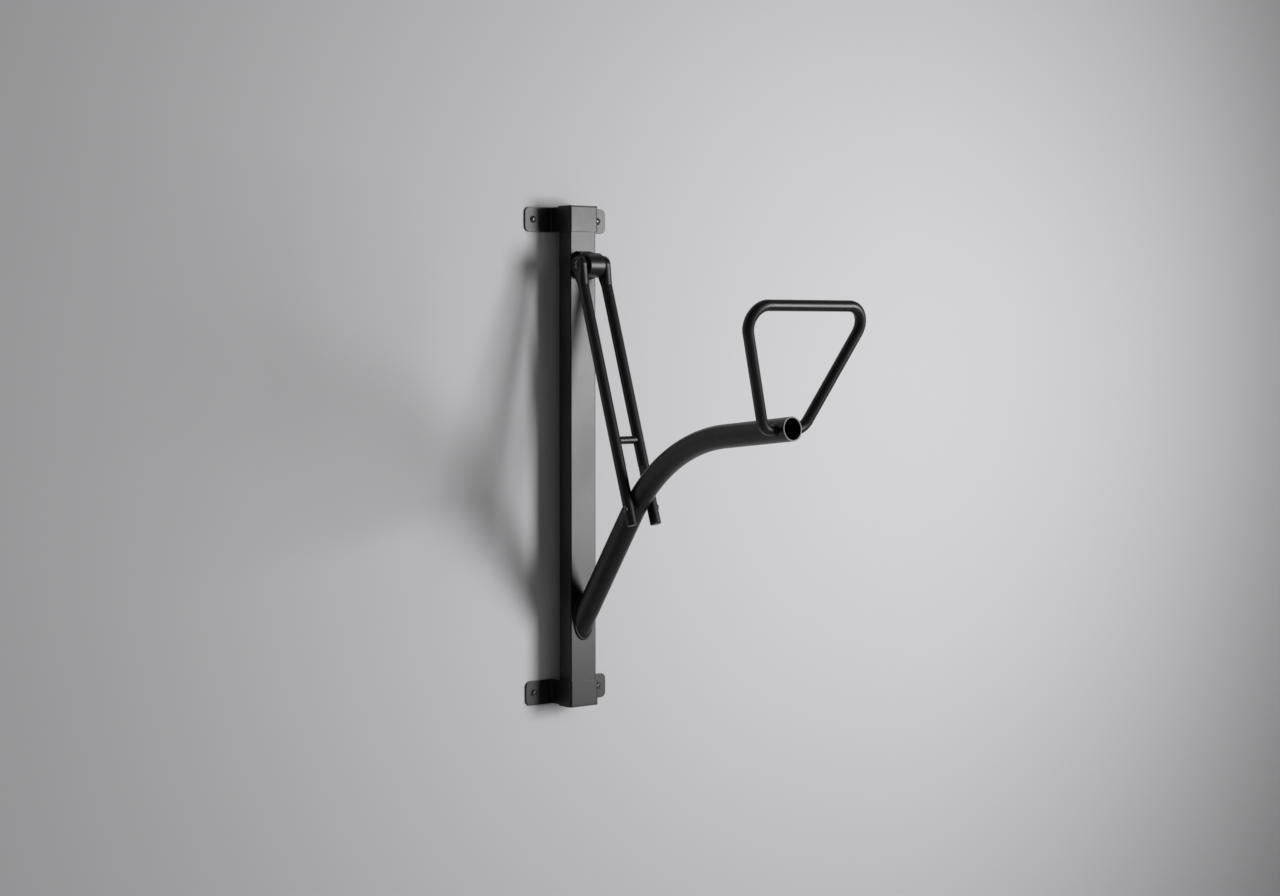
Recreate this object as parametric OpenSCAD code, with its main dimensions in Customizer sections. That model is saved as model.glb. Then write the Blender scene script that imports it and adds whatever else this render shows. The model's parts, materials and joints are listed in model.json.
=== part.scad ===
// Bicycle wall rack: a boxed column on two wall brackets, a bent arm tube welded to the
// column, a trapezoid cradle loop at the arm's end, and a pair of stays that hang from a
// pivot barrel on the column and hold the arm.
// Millimetres. X runs along the wall, -Y points out from the wall, Z is up. The origin is
// on the wall, at the centre of the four wall screws.

/* [Column] */
// Width of the column section, along the wall
column_w = 50; // [44:1:56]
// Depth of the column section, out from the wall
column_d = 30; // [26:1:36]
// Length of the column without its end caps
column_l = 772; // [740:2:820]
// Wall thickness of the column
column_wall = 2; // [1.5:0.5:3]
// Corner radius of the column section
column_r = 2.5; // [2:0.5:4]
// Gap between the wall and the back of the column
wall_gap = 17; // [14:1:24]
// Thickness of the end caps' flanges
cap_t = 2; // [1.5:0.5:4]
// Depth of the end caps' plugs inside the column
cap_plug = 14; // [8:1:25]

/* [Brackets] */
// Thickness of the bracket strap
strap_t = 2.5; // [2:0.5:3]
// Height of each bracket
strap_h = 38; // [32:1:44]
// Width of each bracket across its two ears
bracket_w = 156; // [150:1:180]
// Corner radius of the ears
ear_r = 8.5; // [4:0.5:12]
// Distance between the left and right wall screws
screw_spacing = 126; // [110:1:130]
// Diameter of the wall screws
wall_screw_d = 6; // [5:0.5:6]
// Length of the wall screws behind the brackets
wall_screw_l = 50; // [30:5:80]

/* [Arm] */
// Outer diameter of the arm tube
arm_d = 35; // [33:0.5:36]
// Wall thickness of the arm tube
arm_wall = 2; // [1.5:0.5:3]
// Height where the arm's axis meets the column's face
arm_foot_up = -252; // [-260:1:-245]
// Angle of the lower straight above the horizontal
arm_lower_angle = 55; // [53:1:57]
// Angle of the upper straight above the horizontal
arm_upper_angle = 6; // [3:1:9]
// Distance along the lower straight from its foot to the bend's corner
arm_lower_l = 343; // [338:1:350]
// Distance from the bend's corner to the open end
arm_upper_l = 281; // [250:1:320]
// Radius of the arm's bend, at the tube's axis
arm_bend_r = 300; // [280:5:320]

/* [Cradle loop] */
// Diameter of the loop's bar
loop_d = 16; // [12:0.5:18]
// Distance of the loop behind the arm's open end
loop_back = 20; // [18:1:40]
// Lean of the loop away from the wall
loop_lean = 17; // [0:1:25]
// Height of the loop's top bar above the arm's axis, in the plane of the loop
loop_h = 181.6; // [150:0.1:200]
// Half width of the loop at its top corners, before they are rounded
loop_top = 121; // [100:1:140]
// Half width of the loop at its feet, before they are rounded
loop_foot = 37.3; // [36:0.1:45]
// Radius of the top corners, at the bar's axis
loop_top_r = 28.4; // [24:0.1:40]
// Radius of the bends at the feet, at the bar's axis
loop_foot_r = 24; // [18:1:26]

/* [Brace] */
// Height of the pivot pin
pivot_up = 296; // [292:1:300]
// Diameter of the pivot barrel
barrel_d = 38; // [34:1:38]
// Length of the pivot barrel
barrel_l = 29; // [26:1:29]
// Diameter of the stays
stay_d = 17; // [15:0.5:17]
// Distance of each stay's axis from the middle
stay_x = 22.7; // [22.7:0.1:24]
// Length of the stays from the pin to their lower ends
stay_l = 413; // [408:1:420]
// Lean of the stays away from the column
stay_lean = 18.2; // [18:0.1:18.8]
// Diameter of the eyes at the top of the stays
eye_d = 30; // [28:1:34]
// Thickness of the eyes
eye_t = 14; // [12:1:14]
// Diameter of the pivot pin
pin_d = 8; // [6:1:10]
// Diameter of the crossbar between the stays
crossbar_d = 12; // [8:1:14]
// Distance of the crossbar from the pin
crossbar_at = 280; // [200:5:290]
// Distance of the brace screws from the pin
brace_screw_at = 387; // [384:1:387]
// Diameter of the brace screws
brace_screw_d = 6; // [5:1:6]

/* [Hidden] */
$fn = 64;

powder_black = [0.09, 0.09, 0.095];
plastic_black = [0.05, 0.05, 0.05];
screw_black = [0.2, 0.2, 0.21];
bush_black = [0.03, 0.03, 0.03];

half_pi_turn = 90;                        // a quarter turn, in degrees
eps = 0.02;                               // overlap that joins a screw's head to its shank
bend_step = 0.08;                         // extra radius of a bend over the bars it joins
bend_lap = 0.25;                          // how far a bar runs into a bend
face_out = wall_gap + column_d;           // column's front face, measured out from the wall
bracket_up = column_l / 2 - strap_h / 2;  // middle of the top bracket
strap_x = column_w / 2 + strap_t;         // outside of the strap's sides
strap_bend_r = 3;                         // inside radius of the bend from side to ear
strap_corner_r = 4;                       // outside radius of the strap's front corners
arm_r = arm_d / 2;
loop_r = loop_d / 2;
stay_r = stay_d / 2;
barrel_r = barrel_d / 2;
saddle_web = 0.6;                         // thickness of the saddle behind the barrel
pivot_out = face_out + saddle_web + barrel_r;
bush_r = pin_d / 2 + 2;                   // outside of the bushes
bush_flange_r = 12;
bush_flange_t = 1;
bush_l = 12;
running_gap = 0.05;                       // radial clearance of the pin in its bushes
flange_gap = 0.2;                         // gap between an eye and the bush's flange
side_gap = 0.3;                           // clearance between pieces that swing past each other
eye_inner = barrel_l / 2 + bush_flange_t + flange_gap;
eye_outer = eye_inner + eye_t;
eye_recess = 1.5;                         // depth of the counterbore round each pin head
eye_recess_r = 9;
wall_hole_d = wall_screw_d + 0.8;         // hole in a bracket's ear
wall_neck_d = wall_screw_d + 0.5;         // neck of a wall screw
pin_head_r = 7;
pin_head_h = 4.4;
pin_tap_d = 5;                            // tapped hole in the pin's far end
pin_tap_l = 14;
flat_x = arm_r + side_gap;                // flats on the inner sides of the stays' lower ends
flat_l = 92;
screw_head_r = 5.5;
screw_head_h = 3.3;
spot_depth = 1;                           // flat milled under each brace screw's head
sleeve_r = 4.25;                          // outside of the threaded sleeve through the arm
weld_w = 3.5;                             // width of the weld round the arm's foot
loop_weld_w = 2.5;
saddle_h = 44;                            // height of the saddle on the column
saddle_lip_h = 39;                        // height of the saddle at its lips
saddle_lip_out = 12;                      // reach of the saddle's lips from the column
eye_round = 5.5;                          // radius of the eyes' round rims
eye_skin = 0.15;                          // how far the blend from bar to eye stays under the eye
neck_l = 34;                              // length of the blend from the pin down the bar
trim = 150;                               // size of the blocks that trim pieces at the column
plug_gap = 0.1;                           // clearance of the end caps' plugs in the column
plug_wall = 2;

// Points of an arc about c, from angle a0 to a1
function arc(c, r, a0, a1, steps = 6) =
    [for (i = [0 : steps]) let (a = a0 + (a1 - a0) * i / steps) c + r * [cos(a), sin(a)]];
// Unit vector at an angle in the side plane, where x is out from the wall and y is up
function heading(a) = [cos(a), sin(a)];
// Outline of a rectangle with round corners, centred
function round_rect(w, h, r) = [
    each arc([w / 2 - r, h / 2 - r], r, 0, 90),
    each arc([r - w / 2, h / 2 - r], r, 90, 180),
    each arc([r - w / 2, r - h / 2], r, 180, 270),
    each arc([w / 2 - r, r - h / 2], r, 270, 360)
];

// Arm path in the side plane
arm_foot = [face_out, arm_foot_up];
arm_bend = arm_lower_angle - arm_upper_angle;
arm_tangent_l = arm_bend_r * tan(arm_bend / 2);
arm_corner = arm_foot + arm_lower_l * heading(arm_lower_angle);
bend_start = arm_corner - arm_tangent_l * heading(arm_lower_angle);
bend_centre = bend_start + arm_bend_r * heading(arm_lower_angle - half_pi_turn);
bend_end = arm_corner + arm_tangent_l * heading(arm_upper_angle);
arm_end = arm_corner + arm_upper_l * heading(arm_upper_angle);
arm_run_in = 40;                          // extra length at the foot, cut off at the column's face
loop_centre = arm_end - loop_back * heading(arm_upper_angle);

// Loop path in its own plane, right half
loop_leg = [loop_top - loop_foot, loop_h];
loop_leg_angle = atan2(loop_leg.y, loop_leg.x);
foot_tangent_l = loop_foot_r * tan(loop_leg_angle / 2);
top_turn = 180 - loop_leg_angle;
top_tangent_l = loop_top_r * tan(top_turn / 2);
leg_l = norm(loop_leg) - foot_tangent_l - top_tangent_l;
top_bar_x = loop_top - top_tangent_l + bend_lap;

// Turns the side plane's x and y to out from the wall and up
module side_plane() rotate([90, 0, -90]) children();

// Puts the brace's own frame on the pivot: -Z runs down the stays
module brace_frame() translate([0, -pivot_out, pivot_up]) rotate([-stay_lean, 0, 0]) children();

// Mirrors what is drawn on the left to the right when side is 1
module on_side(side) mirror([side > 0 ? 1 : 0, 0, 0]) children();

module rod_x(x0, x1, r) translate([x0, 0, 0]) rotate([0, 90, 0]) cylinder(r = r, h = x1 - x0);

// Rod in the plane from point p along an angle
module rod_at(p, angle, l, r) translate(p) rotate([0, 90, angle]) cylinder(r = r, h = l);

// Round bend in a plane about centre c, a hair thicker than the bars that end inside it
module bend(c, path_r, r, start, sweep, step = bend_step)
    translate(c) rotate(start) rotate_extrude(angle = sweep) translate([path_r, 0]) circle(r + step);

// Button head with a hex socket, on Z = 0 and facing +Z
module button_head(r, h, socket) {
    edge_h = 0.2 * h;
    dome_h = h - edge_h;
    dome_r = (r * r + dome_h * dome_h) / (2 * dome_h);
    difference() {
        intersection() {
            cylinder(r = r, h = h);
            translate([0, 0, h - dome_r]) sphere(dome_r);
        }
        translate([0, 0, 0.4 * h]) cylinder(d = socket / cos(30), h = h, $fn = 6);
    }
}

// Column ---------------------------------------------------------------------------------
module column() color(powder_black)
    translate([0, -(wall_gap + column_d / 2), -column_l / 2]) linear_extrude(column_l) difference() {
        polygon(round_rect(column_w, column_d, column_r));
        polygon(round_rect(column_w - 2 * column_wall, column_d - 2 * column_wall, column_r / 2));
    }

// Flanged plastic cap with a hollow plug, drawn for the top
module end_cap() color(plastic_black) translate([0, 0, column_l / 2]) {
    flange_w = 2 * strap_x;
    flange_d = column_d + strap_t;
    plug_w = column_w - 2 * (column_wall + plug_gap);
    plug_d = column_d - 2 * (column_wall + plug_gap);
    translate([0, -(wall_gap + flange_d / 2), 0])
        linear_extrude(cap_t) polygon(round_rect(flange_w, flange_d, strap_corner_r));
    translate([0, -(wall_gap + column_d / 2), -cap_plug]) linear_extrude(cap_plug) difference() {
        polygon(round_rect(plug_w, plug_d, 1.2));
        polygon(round_rect(plug_w - 2 * plug_wall, plug_d - 2 * plug_wall, 1));
    }
}
module top_end_cap() end_cap();
module bottom_end_cap() mirror([0, 0, 1]) end_cap();

// Brackets -------------------------------------------------------------------------------
// Strap outline seen from above, right half: along the back, then back along the front
strap_inside = [
    [bracket_w / 2, 0],
    each arc([strap_x + strap_bend_r, strap_t + strap_bend_r], strap_t + strap_bend_r, 270, 180),
    each arc([column_w / 2 - column_r, face_out - column_r], column_r, 0, 90)
];
strap_outside = [
    each arc([strap_x - strap_corner_r, face_out + strap_t - strap_corner_r], strap_corner_r, 90, 0),
    each arc([strap_x + strap_bend_r, strap_t + strap_bend_r], strap_bend_r, 180, 270),
    [bracket_w / 2, strap_t]
];
function reversed(list) = [for (i = [len(list) - 1 : -1 : 0]) list[i]];
function mirrored(list) = [for (p = list) [-p.x, p.y]];

module bracket() color(powder_black) difference() {
    intersection() {
        mirror([0, 1, 0]) translate([0, 0, -strap_h / 2]) linear_extrude(strap_h)
            polygon([
                each strap_inside, each reversed(mirrored(strap_inside)),
                each reversed(mirrored(strap_outside)), each strap_outside
            ]);
        translate([0, 1, 0]) rotate([90, 0, 0]) linear_extrude(face_out + strap_t + 2)
            polygon(round_rect(bracket_w, strap_h, ear_r));
    }
    for (x = [-1, 1])
        translate([x * screw_spacing / 2, 1, 0]) rotate([90, 0, 0])
            cylinder(d = wall_hole_d, h = strap_t + 2);
}
module top_bracket() translate([0, 0, bracket_up]) bracket();
module bottom_bracket() translate([0, 0, -bracket_up]) bracket();

// Wall screw with its point in the wall, and a thicker neck in the bracket's hole
module wall_screw(x, z) color(screw_black) translate([x, 0, z]) rotate([-90, 0, 0]) {
    point_l = 6;
    translate([0, 0, -strap_t]) mirror([0, 0, 1]) button_head(screw_head_r, screw_head_h, 4);
    rotate_extrude() polygon([
        [0, -strap_t - eps], [wall_neck_d / 2, -strap_t - eps], [wall_neck_d / 2, 0],
        [wall_screw_d / 2, 0], [wall_screw_d / 2, wall_screw_l - point_l],
        [0.5, wall_screw_l], [0, wall_screw_l]
    ]);
}
module wall_screw_top_left() wall_screw(-screw_spacing / 2, bracket_up);
module wall_screw_top_right() wall_screw(screw_spacing / 2, bracket_up);
module wall_screw_bottom_left() wall_screw(-screw_spacing / 2, -bracket_up);
module wall_screw_bottom_right() wall_screw(screw_spacing / 2, -bracket_up);

// Pivot ----------------------------------------------------------------------------------
// Block between the column and the barrel, hollowed to seat the barrel
module pivot_saddle() color(powder_black) difference() {
    translate([barrel_l / 2 - 1, 0, 0]) side_plane() linear_extrude(barrel_l - 2)
        polygon([
            [face_out, pivot_up - saddle_h / 2],
            [face_out + saddle_lip_out, pivot_up - saddle_lip_h / 2],
            [face_out + saddle_lip_out, pivot_up + saddle_lip_h / 2],
            [face_out, pivot_up + saddle_h / 2]
        ]);
    translate([0, -pivot_out, pivot_up]) rod_x(-barrel_l, barrel_l, barrel_r);
}

module pivot_barrel() color(powder_black) translate([0, -pivot_out, pivot_up]) rotate([0, 90, 0]) {
    chamfer = 1;
    rotate_extrude() polygon([
        [bush_r, -barrel_l / 2], [barrel_r - chamfer, -barrel_l / 2], [barrel_r, chamfer - barrel_l / 2],
        [barrel_r, barrel_l / 2 - chamfer], [barrel_r - chamfer, barrel_l / 2], [bush_r, barrel_l / 2]
    ]);
}

// Flanged bush in one end of the barrel
module pivot_bush(side) color(bush_black) on_side(side)
    translate([-barrel_l / 2, -pivot_out, pivot_up]) rotate([0, 90, 0]) rotate_extrude() polygon([
        [pin_d / 2 + running_gap, -bush_flange_t], [bush_flange_r, -bush_flange_t],
        [bush_flange_r, 0], [bush_r, 0], [bush_r, bush_l], [pin_d / 2 + running_gap, bush_l]
    ]);
module left_pivot_bush() pivot_bush(-1);
module right_pivot_bush() pivot_bush(1);

// Arm ------------------------------------------------------------------------------------
// Straight length of the arm's tube, from point p along an angle
module straight_tube(p, angle, l) translate(p) rotate([0, 90, angle]) rotate_extrude()
    translate([arm_r - arm_wall, 0]) square([arm_wall, l]);

// Everything on the wall's side of the column's face
module behind_face() translate([-trim, -face_out, arm_foot_up - trim]) cube([2 * trim, trim, 2 * trim]);

module at_brace_screw() brace_frame() translate([0, 0, -brace_screw_at]) children();

// The arm is one bent tube. It is drawn as three lengths that meet face to face.
module arm_lower_tube() color(powder_black) difference() {
    side_plane() straight_tube(arm_foot - arm_run_in * heading(arm_lower_angle), arm_lower_angle,
        arm_run_in + arm_lower_l - arm_tangent_l);
    behind_face();
}

module arm_bent_tube() color(powder_black) difference() {
    side_plane() translate(bend_centre) rotate(arm_upper_angle + half_pi_turn)
        rotate_extrude(angle = arm_bend) translate([arm_bend_r, 0]) difference() {
            circle(arm_r);
            circle(arm_r - arm_wall);
        }
    at_brace_screw() rod_x(-arm_d, arm_d, sleeve_r);
}

module arm_upper_tube() color(powder_black) side_plane()
    straight_tube(bend_end, arm_upper_angle, arm_upper_l - arm_tangent_l);

// Fillet weld between the arm's foot and the column, as a plain collar
module arm_foot_weld() color(powder_black) difference() {
    side_plane() rod_at(arm_foot - arm_run_in * heading(arm_lower_angle), arm_lower_angle,
        2 * arm_run_in, arm_r + weld_w);
    side_plane() rod_at(arm_foot - 2 * arm_run_in * heading(arm_lower_angle), arm_lower_angle,
        4 * arm_run_in, arm_r);
    behind_face();
    translate([0, -trim - weld_w, 0]) behind_face();
}

// Threaded sleeve welded across the arm, flush with the tube's flanks
module anchor_sleeve() color(screw_black) difference() {
    intersection() {
        at_brace_screw() rod_x(-arm_d, arm_d, sleeve_r);
        side_plane() bend(bend_centre, arm_bend_r, arm_r, arm_upper_angle + half_pi_turn, arm_bend, 0);
    }
    at_brace_screw() rod_x(-arm_d, arm_d, brace_screw_d / 2);
}

// Cradle loop ----------------------------------------------------------------------------
// Puts the loop's own plane on the arm: x stays along the wall, y runs up the loop
module loop_frame() translate([0, -loop_centre.x, loop_centre.y]) rotate([90 + loop_lean, 0, 0]) children();

module loop_half() {
    leg_start = [loop_foot, 0] + foot_tangent_l * heading(loop_leg_angle);
    foot_start = [loop_foot - foot_tangent_l, 0];
    rod_x(arm_r / 2, foot_start.x + bend_lap, loop_r);
    bend(foot_start + [0, loop_foot_r], loop_foot_r, loop_r, -half_pi_turn, loop_leg_angle);
    rod_at(leg_start - bend_lap * heading(loop_leg_angle), loop_leg_angle, leg_l + 2 * bend_lap, loop_r);
    bend([loop_top - top_tangent_l, loop_h - loop_top_r], loop_top_r, loop_r,
        loop_leg_angle - half_pi_turn, top_turn);
}

module cradle_loop() color(powder_black) difference() {
    loop_frame() {
        loop_half();
        mirror([1, 0, 0]) loop_half();
        translate([0, loop_h, 0]) rod_x(-top_bar_x, top_bar_x, loop_r);
    }
    side_plane() rod_at(bend_end, arm_upper_angle, arm_upper_l, arm_r);
}

// Fillet weld round one foot of the loop, as a plain collar
module loop_weld(side) color(powder_black) on_side(side) difference() {
    loop_frame() rod_x(-arm_r - loop_weld_w, -arm_r / 2, loop_r + loop_weld_w);
    loop_frame() rod_x(-2 * arm_r, 0, loop_r);
    side_plane() rod_at(bend_end, arm_upper_angle, arm_upper_l, arm_r);
}
module left_loop_weld() loop_weld(-1);
module right_loop_weld() loop_weld(1);

// Brace ----------------------------------------------------------------------------------
// Disc with fully rounded rims, from one face at Z = 0 to the other, its surface set in by skin
module eye_disc(skin = 0) {
    rim = eye_d / 2 - eye_round;
    rotate_extrude() polygon([
        [0, skin], each arc([rim, eye_round], eye_round - skin, -90, 0),
        each arc([rim, eye_t - eye_round], eye_round - skin, 0, 90), [0, eye_t - skin]
    ]);
}

// Round bar with a forged eye, drawn on the left
module stay(side) color(powder_black) on_side(side) brace_frame() difference() {
    end_chamfer = 1;
    bar_top = -12;
    union() {
        translate([-stay_x, 0, -stay_l]) cylinder(r1 = stay_r - end_chamfer, r2 = stay_r, h = end_chamfer);
        translate([-stay_x, 0, end_chamfer - stay_l])
            cylinder(r = stay_r, h = stay_l - end_chamfer + bar_top);
        translate([-eye_outer, 0, 0]) rotate([0, 90, 0]) eye_disc();
        hull() {
            translate([-eye_outer, 0, 0]) rotate([0, 90, 0]) eye_disc(eye_skin, $fn = 32);
            translate([-stay_x, 0, -neck_l]) cylinder(r = stay_r - eye_skin, h = 1);
        }
    }
    rod_x(-eye_outer - 1, -eye_inner + 1, pin_d / 2);
    rod_x(-eye_outer - 2, -eye_outer + eye_recess, eye_recess_r);
    translate([-flat_x, -stay_d, -stay_l - 1]) cube([stay_d, 2 * stay_d, flat_l + 1]);
    translate([0, 0, -brace_screw_at]) {
        rod_x(-stay_x - stay_r - 1, 0, brace_screw_d / 2);
        rod_x(-stay_x - stay_r - 1, -stay_x - stay_r + spot_depth, screw_head_r + 1);
    }
    rod_x(-eye_inner, 0, barrel_r + side_gap);
}
module left_stay() stay(-1);
module right_stay() stay(1);

// Bar between the stays, with its ends shaped to them
module stay_crossbar() color(powder_black) brace_frame() difference() {
    translate([0, 0, -crossbar_at]) rod_x(-stay_x, stay_x, crossbar_d / 2);
    for (x = [-stay_x, stay_x]) translate([x, 0, -stay_l]) cylinder(r = stay_r, h = stay_l);
}

// Headed pin through the eyes and bushes, with a tapped hole in its right end
module pivot_pin() color(screw_black) brace_frame() difference() {
    union() {
        translate([eye_recess - eye_outer, 0, 0]) rotate([0, -90, 0]) button_head(pin_head_r, pin_head_h, 5);
        rod_x(eye_recess - eye_outer - eps, eye_outer - eye_recess, pin_d / 2);
    }
    rod_x(eye_outer - eye_recess - pin_tap_l, eye_outer, pin_tap_d / 2);
}

// Button-head screw that closes the pin on the right
module pivot_pin_screw() color(screw_black) brace_frame() {
    translate([eye_outer - eye_recess, 0, 0]) rotate([0, 90, 0]) button_head(pin_head_r, pin_head_h, 5);
    rod_x(eye_outer - eye_recess - pin_tap_l + 1, eye_outer - eye_recess + eps, pin_tap_d / 2);
}

// Button-head screw through the lower end of one stay. It ends at the stay's inner flat.
module brace_screw(side) color(screw_black) on_side(side) brace_frame() translate([0, 0, -brace_screw_at]) {
    seat = -stay_x - stay_r + spot_depth;
    translate([seat, 0, 0]) rotate([0, -90, 0]) button_head(screw_head_r, screw_head_h, 4);
    rod_x(seat - eps, -flat_x, brace_screw_d / 2);
}
module left_brace_screw() brace_screw(-1);
module right_brace_screw() brace_screw(1);

column();
top_end_cap();
bottom_end_cap();
top_bracket();
bottom_bracket();
wall_screw_top_left();
wall_screw_top_right();
wall_screw_bottom_left();
wall_screw_bottom_right();
pivot_saddle();
pivot_barrel();
left_pivot_bush();
right_pivot_bush();
arm_lower_tube();
arm_bent_tube();
arm_upper_tube();
arm_foot_weld();
anchor_sleeve();
cradle_loop();
left_loop_weld();
right_loop_weld();
left_stay();
right_stay();
stay_crossbar();
pivot_pin();
pivot_pin_screw();
left_brace_screw();
right_brace_screw();
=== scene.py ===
import json
import math

import bpy
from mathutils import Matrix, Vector, noise


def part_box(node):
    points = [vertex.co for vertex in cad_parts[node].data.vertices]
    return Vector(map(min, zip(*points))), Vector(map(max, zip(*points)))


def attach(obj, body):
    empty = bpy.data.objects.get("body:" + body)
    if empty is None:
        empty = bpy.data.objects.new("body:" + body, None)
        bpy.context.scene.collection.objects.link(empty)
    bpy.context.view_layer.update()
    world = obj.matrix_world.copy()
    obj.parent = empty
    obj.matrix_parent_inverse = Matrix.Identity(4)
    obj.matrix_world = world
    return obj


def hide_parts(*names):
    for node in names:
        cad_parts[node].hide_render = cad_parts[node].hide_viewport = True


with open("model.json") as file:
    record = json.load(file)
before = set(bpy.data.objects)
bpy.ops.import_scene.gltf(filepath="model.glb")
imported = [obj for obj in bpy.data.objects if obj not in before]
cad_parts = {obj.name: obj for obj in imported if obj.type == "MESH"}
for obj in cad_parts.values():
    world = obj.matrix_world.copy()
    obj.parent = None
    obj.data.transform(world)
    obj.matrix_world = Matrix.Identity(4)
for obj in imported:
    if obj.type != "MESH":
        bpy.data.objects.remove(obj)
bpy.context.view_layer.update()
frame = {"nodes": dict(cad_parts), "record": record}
nodes = frame["nodes"]
record = frame["record"]
MM = 0.001


# Materials ------------------------------------------------------------------------------
class Graph:
    """Short names for building a material's node tree."""

    def __init__(self, name):
        self.mat = bpy.data.materials.new(name)
        self.mat.use_nodes = True
        self.tree = self.mat.node_tree
        self.bsdf = self.tree.nodes["Principled BSDF"]
        self.out = self.tree.nodes["Material Output"]
        self.place = self.add("ShaderNodeTexCoord").outputs["Object"]

    def add(self, kind, **values):
        node = self.tree.nodes.new(kind)
        for key, value in values.items():
            setattr(node, key, value)
        return node

    def link(self, a, b):
        self.tree.links.new(a, b)

    def set(self, name, value):
        """Puts a number, a colour or another node's output into a socket of the shader."""
        if isinstance(value, (int, float, tuple)):
            self.bsdf.inputs[name].default_value = value
        else:
            self.link(value, self.bsdf.inputs[name])

    def noise(self, scale, detail=3.0, roughness=0.55):
        node = self.add("ShaderNodeTexNoise")
        node.inputs["Scale"].default_value = scale
        node.inputs["Detail"].default_value = detail
        node.inputs["Roughness"].default_value = roughness
        self.link(self.place, node.inputs["Vector"])
        return node.outputs["Fac"]

    def ramp(self, value, low, high, out_low, out_high):
        node = self.add("ShaderNodeMapRange")
        node.inputs["From Min"].default_value = low
        node.inputs["From Max"].default_value = high
        node.inputs["To Min"].default_value = out_low
        node.inputs["To Max"].default_value = out_high
        self.link(value, node.inputs["Value"])
        return node.outputs["Result"]

    def math(self, op, a, b):
        node = self.add("ShaderNodeMath", operation=op)
        for socket, value in zip(node.inputs, (a, b)):
            if isinstance(value, (int, float)):
                socket.default_value = value
            else:
                self.link(value, socket)
        return node.outputs[0]

    def mix(self, fac, a, b):
        node = self.add("ShaderNodeMix", data_type="RGBA")
        for name, value in (("Factor", fac), ("A", a), ("B", b)):
            socket = [s for s in node.inputs if s.name == name and s.enabled][-1]
            if isinstance(value, (int, float, tuple)):
                socket.default_value = value
            else:
                self.link(value, socket)
        return [s for s in node.outputs if s.enabled][0]

    def bump(self, height, strength, distance, normal=None):
        node = self.add("ShaderNodeBump")
        node.inputs["Strength"].default_value = strength
        node.inputs["Distance"].default_value = distance
        self.link(height, node.inputs["Height"])
        if normal is not None:
            self.link(normal, node.inputs["Normal"])
        return node.outputs["Normal"]

    def edge(self, radius):
        """A mask, 0 on flat faces and 1 along sharp edges, and the normal that rounds them."""
        bevel = self.add("ShaderNodeBevel", samples=6)
        bevel.inputs["Radius"].default_value = radius
        normal = self.add("ShaderNodeNewGeometry").outputs["Normal"]
        dot = self.add("ShaderNodeVectorMath", operation="DOT_PRODUCT")
        self.link(bevel.outputs["Normal"], dot.inputs[0])
        self.link(normal, dot.inputs[1])
        return self.ramp(dot.outputs["Value"], 0.995, 0.80, 0.0, 1.0), bevel.outputs["Normal"]


def grey(value):
    """A colour of one brightness, very slightly cool."""
    return (value, value, value * 1.02, 1)


def powder_coat():
    """Satin black powder coat: fine orange peel and speckle, lighter along sharp edges, partly as
    worn coat and partly as a painted highlight on the rims.
    """
    g = Graph("powder_coat")
    grain = g.noise(2100.0, 2.0)
    peel = g.noise(650.0, 2.0, 0.4)
    cloud = g.noise(9.0, 4.0)
    edge, rounded = g.edge(0.9 * MM)
    tone = g.mix(g.ramp(grain, 0.35, 0.70, 0.0, 1.0), grey(0.0075), grey(0.016))
    # Painted highlight: sharp edges and rims are lightened in colour, which also stands for some
    # worn coat.
    tone = g.mix(g.math("MULTIPLY", edge, 0.3), tone, grey(0.05))
    g.set("Base Color", tone)
    rough = g.ramp(cloud, 0.3, 0.7, 0.33, 0.38)
    g.set("Roughness", g.math("ADD", rough, g.ramp(grain, 0.3, 0.7, -0.03, 0.03)))
    normal = g.bump(peel, 0.30, 0.20 * MM, rounded)
    g.set("Normal", g.bump(grain, 0.35, 0.05 * MM, normal))
    g.set("Specular IOR Level", 0.42)
    return g.mat


def cap_plastic():
    """Black moulded cap with a faint grain."""
    g = Graph("cap_plastic")
    grain = g.noise(1400.0)
    g.set("Base Color", g.mix(grain, grey(0.006), grey(0.012)))
    g.set("Roughness", g.ramp(grain, 0.3, 0.7, 0.50, 0.62))
    g.set("Normal", g.bump(grain, 0.4, 0.08 * MM))
    return g.mat


def screw_steel():
    """Dark zinc on turned steel: faint blotches, and lighter edges, partly rub wear from a key
    and partly a painted highlight on the rims.
    """
    g = Graph("screw_steel")
    blotch = g.noise(260.0)
    edge, rounded = g.edge(0.4 * MM)
    tone = g.mix(blotch, grey(0.11), grey(0.17))
    # Painted highlight: the heads' rims are lightened in colour, which also stands for some rub
    # wear.
    g.set("Base Color", g.mix(g.math("MULTIPLY", edge, 0.6), tone, grey(0.40)))
    g.set("Metallic", 0.9)
    g.set("Roughness", g.ramp(blotch, 0.3, 0.7, 0.30, 0.42))
    g.set("Normal", g.bump(g.noise(1500.0), 0.25, 0.04 * MM, rounded))
    return g.mat


def bush_plastic():
    """Dark nylon bush."""
    g = Graph("bush_plastic")
    grain = g.noise(900.0, 2.0)
    g.set("Base Color", g.mix(grain, grey(0.006), grey(0.010)))
    g.set("Roughness", g.ramp(grain, 0.3, 0.7, 0.58, 0.68))
    g.set("Normal", g.bump(grain, 0.3, 0.05 * MM))
    return g.mat


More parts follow.
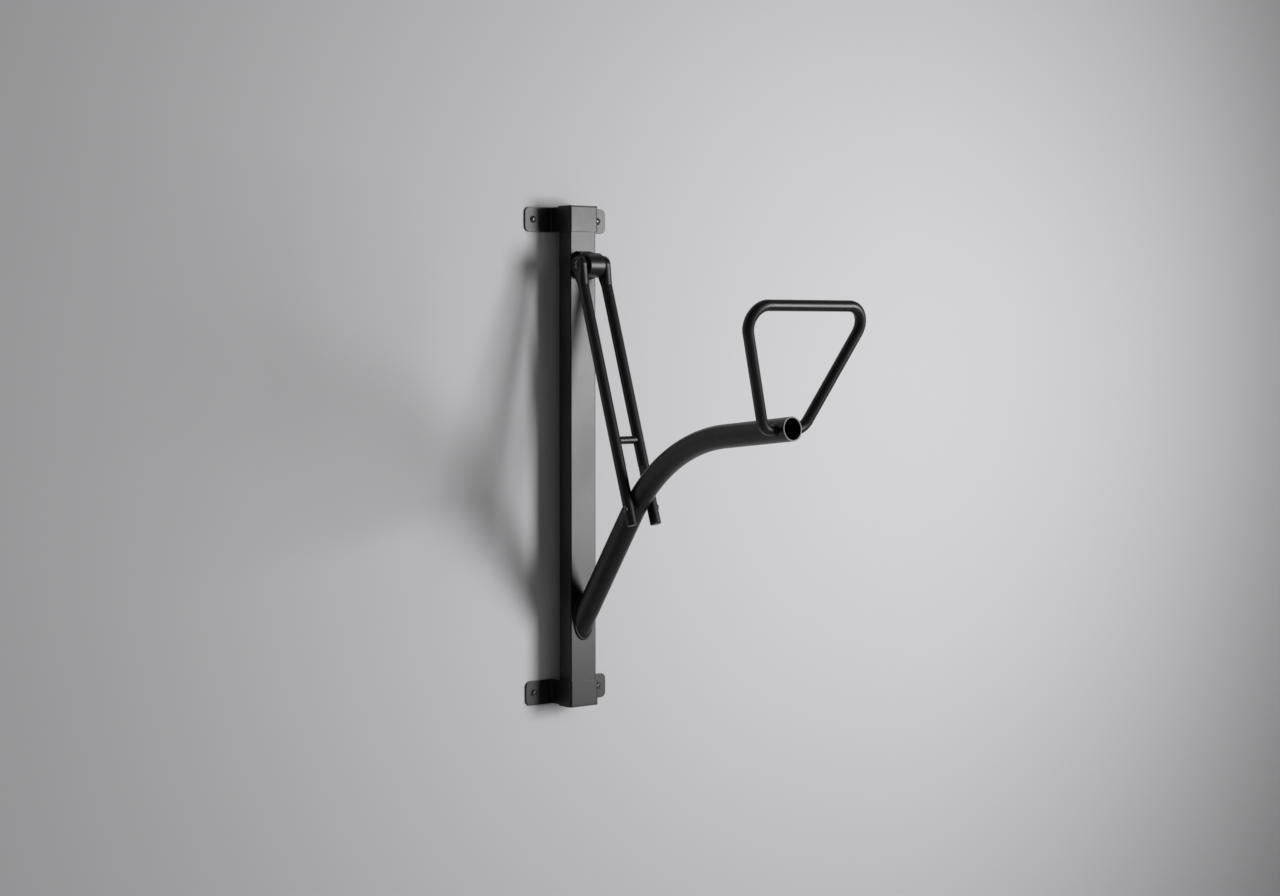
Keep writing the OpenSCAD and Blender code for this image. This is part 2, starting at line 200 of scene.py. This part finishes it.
def wall_paint():
    """Pale painted wall, seen only from its front: from behind it lets the eye through."""
    g = Graph("wall_paint")
    g.set("Base Color", g.mix(g.noise(1.1, 2.0), grey(0.71), grey(0.75)))
    g.set("Roughness", 0.85)
    g.set("Specular IOR Level", 0.2)
    g.set("Normal", g.bump(g.noise(160.0, 4.0), 0.10, 0.3 * MM))
    mix = g.add("ShaderNodeMixShader")
    g.link(g.add("ShaderNodeNewGeometry").outputs["Backfacing"], mix.inputs[0])
    g.link(g.bsdf.outputs[0], mix.inputs[1])
    g.link(g.add("ShaderNodeBsdfTransparent").outputs[0], mix.inputs[2])
    g.link(mix.outputs[0], g.out.inputs["Surface"])
    return g.mat


def floor_paint():
    """Plain pale floor."""
    g = Graph("floor_paint")
    g.set("Base Color", g.mix(g.noise(2.0), grey(0.56), grey(0.62)))
    g.set("Roughness", 0.7)
    return g.mat


finishes = {
    "powder_coat": powder_coat(),
    "cap_plastic": cap_plastic(),
    "screw_steel": screw_steel(),
    "bush_plastic": bush_plastic(),
}
for part in record["subparts"]:
    mesh = nodes[part["node"]].data
    mesh.materials.clear()
    mesh.materials.append(finishes[part["material_slot"]])


# Welds ----------------------------------------------------------------------------------
RIPPLE = 2.4 * MM         # length of one weld ripple
STEPS_PER_RIPPLE = 8
BEAD_SIDES = 14
PATH_SAMPLES = 400        # points at which a path's length is measured
RIPPLE_DROP = 0.16        # how much of its width a ripple loses before the next one
RIPPLE_LAG = 0.35         # how far a ripple's outside trails behind its middle, in widths
UNEVEN = 0.10             # uneven width of a bead laid by hand
UNEVEN_SCALE = 260.0
LOOP_BAR = 16 * MM
LOOP_BEAD = 1.9 * MM
FOOT_BEAD = 2.6 * MM
FOOT_BEAD_OUT = 0.6 * MM  # how far the foot's bead lies outside the arm's tube


def add_mesh(name, verts, faces, material):
    mesh = bpy.data.meshes.new(name)
    mesh.from_pydata(verts, [], faces)
    mesh.materials.append(material)
    obj = bpy.data.objects.new(name, mesh)
    bpy.context.scene.collection.objects.link(obj)
    return obj


def bead_radius(s, width, place):
    """Half width of the bead at length s: each ripple starts full and narrows to the next."""
    phase = (s / RIPPLE) % 1.0
    swell = 1.0 - RIPPLE_DROP * phase ** 2
    return width * swell * (1.0 + UNEVEN * noise.noise(place * UNEVEN_SCALE))


def weld_bead(name, node, path, width):
    """A closed, rippled bead along path(t), which gives a point and the outward direction there.

    t runs from 0 to 1 round the joint. The bead stands in for the CAD node.
    """
    probe = [path(i / PATH_SAMPLES)[0] for i in range(PATH_SAMPLES + 1)]
    length = sum((b - a).length for a, b in zip(probe, probe[1:]))
    rings = STEPS_PER_RIPPLE * round(length / RIPPLE)
    verts = []
    for i in range(rings):
        t = i / rings
        place, out = path(t)
        half_step = 0.5 / rings
        along = (path((t + half_step) % 1.0)[0] - path((t - half_step) % 1.0)[0]).normalized()
        across = along.cross(out).normalized()
        radius = bead_radius(i * RIPPLE / STEPS_PER_RIPPLE, width, place)
        for k in range(BEAD_SIDES):
            turn = 2 * math.pi * k / BEAD_SIDES
            lag = RIPPLE_LAG * width * (1.0 - math.cos(turn))
            ray = math.cos(turn) * out + math.sin(turn) * across
            verts.append(place + radius * ray - lag * along)
    faces = []
    for i in range(rings):
        for k in range(BEAD_SIDES):
            a, b = i * BEAD_SIDES, ((i + 1) % rings) * BEAD_SIDES
            n = (k + 1) % BEAD_SIDES
            faces.append((a + k, a + n, b + n, b + k))
    obj = add_mesh(name, verts, faces, finishes["powder_coat"])
    obj.data.polygons.foreach_set("use_smooth", [True] * len(faces))
    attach(obj, "frame")
    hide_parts(node)


mouth = next(m for m in record["mounts"] if m["name"] == "arm_mouth")
arm_out = Vector(mouth["axis"]).normalized()
arm_up = Vector((1, 0, 0)).cross(arm_out)
if arm_up.z < 0:
    arm_up = -arm_up
tube_low, tube_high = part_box("arm_lower_tube")
arm_r = (tube_high[0] - tube_low[0]) / 2

foot_low, foot_high = [Vector(c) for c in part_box("arm_foot_weld")]
foot_centre = Vector((0, foot_high.y, (foot_low.z + foot_high.z) / 2))


def foot_path(t):
    """Ellipse where the arm's tube meets the column's face."""
    half_w = arm_r
    half_h = (foot_high.z - foot_low.z) / (foot_high.x - foot_low.x) * arm_r
    turn = 2 * math.pi * t
    place = foot_centre + Vector((half_w * math.cos(turn), 0, half_h * math.sin(turn)))
    side = Vector((math.cos(turn) / half_w, 0, math.sin(turn) / half_h)).normalized()
    return place + FOOT_BEAD_OUT * side, (side + Vector((0, -1, 0))).normalized()


def loop_path(side):
    """Saddle-shaped curve where one foot of the loop meets the side of the arm."""
    low, high = [Vector(c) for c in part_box("left_loop_weld" if side < 0 else "right_loop_weld")]
    centre = (low + high) / 2
    centre.x = 0
    bar_r = LOOP_BAR / 2

    def path(t):
        turn = 2 * math.pi * t
        rise = bar_r * math.sin(turn)
        x = side * math.sqrt(arm_r ** 2 - rise ** 2)
        radial = math.cos(turn) * arm_out + math.sin(turn) * arm_up
        place = centre + Vector((x, 0, 0)) + bar_r * radial
        return place, (radial + Vector((side, 0, 0))).normalized()

    return path


weld_bead("arm_foot_bead", "arm_foot_weld", foot_path, FOOT_BEAD)
weld_bead("left_loop_bead", "left_loop_weld", loop_path(-1), LOOP_BEAD)
weld_bead("right_loop_bead", "right_loop_weld", loop_path(1), LOOP_BEAD)


# Stage ----------------------------------------------------------------------------------
def plane(name, corners, material):
    """One flat sheet of the stage, with its corners in order."""
    obj = add_mesh(name, corners, [range(len(corners))], material)


FLOOR_Z = -1.35
WALL_X = 6.0       # half width of the wall and the floor
WALL_TOP = 2.6
FLOOR_OUT = 6.0    # how far the floor reaches from the wall
plane(
    "wall",
    [(-WALL_X, 0, FLOOR_Z), (WALL_X, 0, FLOOR_Z), (WALL_X, 0, WALL_TOP), (-WALL_X, 0, WALL_TOP)],
    wall_paint(),
)
plane(
    "floor",
    [
        (-WALL_X, -FLOOR_OUT, FLOOR_Z), (WALL_X, -FLOOR_OUT, FLOOR_Z),
        (WALL_X, 0, FLOOR_Z), (-WALL_X, 0, FLOOR_Z),
    ],
    floor_paint(),
)


# Light ----------------------------------------------------------------------------------
def area(name, place, aim, width, height, watts, spread=180):
    """A rectangular softbox at place, turned towards aim. spread is its beam in degrees."""
    data = bpy.data.lights.new(name, "AREA")
    data.shape = "RECTANGLE"
    data.size = width
    data.size_y = height
    data.energy = watts
    data.spread = math.radians(spread)
    obj = bpy.data.objects.new(name, data)
    obj.location = place
    obj.rotation_euler = (Vector(aim) - Vector(place)).to_track_quat("-Z", "Y").to_euler()
    bpy.context.scene.collection.objects.link(obj)


area("key_softbox", (2.0, -2.5, 0.15), (0.08, 0, 0.08), 1.15, 1.4, 18, 84)
area("front_fill", (1.6, -4.0, 1.2), (0.7, 0, 0.1), 2.4, 2.0, 13)

world = bpy.data.worlds.new("room")
world.use_nodes = True
background = world.node_tree.nodes["Background"]
background.inputs["Color"].default_value = (0.9, 0.9, 0.9, 1)
background.inputs["Strength"].default_value = 0.08
bpy.context.scene.world = world
bpy.context.scene.view_settings.view_transform = "Standard"


# Camera ---------------------------------------------------------------------------------
CAMERA_PLACE = Vector((-2.3013, -3.0075, 0.1935))
CAMERA_TURN = math.radians(39.2)
CAMERA_DIP = math.radians(2.74)
LENS_MM = 68.14
SENSOR_MM = 36.0
cam_data = bpy.data.cameras.new("photo_angle")
cam_data.lens = LENS_MM
cam_data.sensor_width = SENSOR_MM
cam_data.clip_end = 60.0
camera = bpy.data.objects.new("photo_angle", cam_data)
camera.location = CAMERA_PLACE
ahead = Vector((
    math.sin(CAMERA_TURN) * math.cos(CAMERA_DIP),
    math.cos(CAMERA_TURN) * math.cos(CAMERA_DIP),
    -math.sin(CAMERA_DIP),
))
camera.rotation_euler = ahead.to_track_quat("-Z", "Y").to_euler()
bpy.context.scene.collection.objects.link(camera)
bpy.context.scene.camera = camera
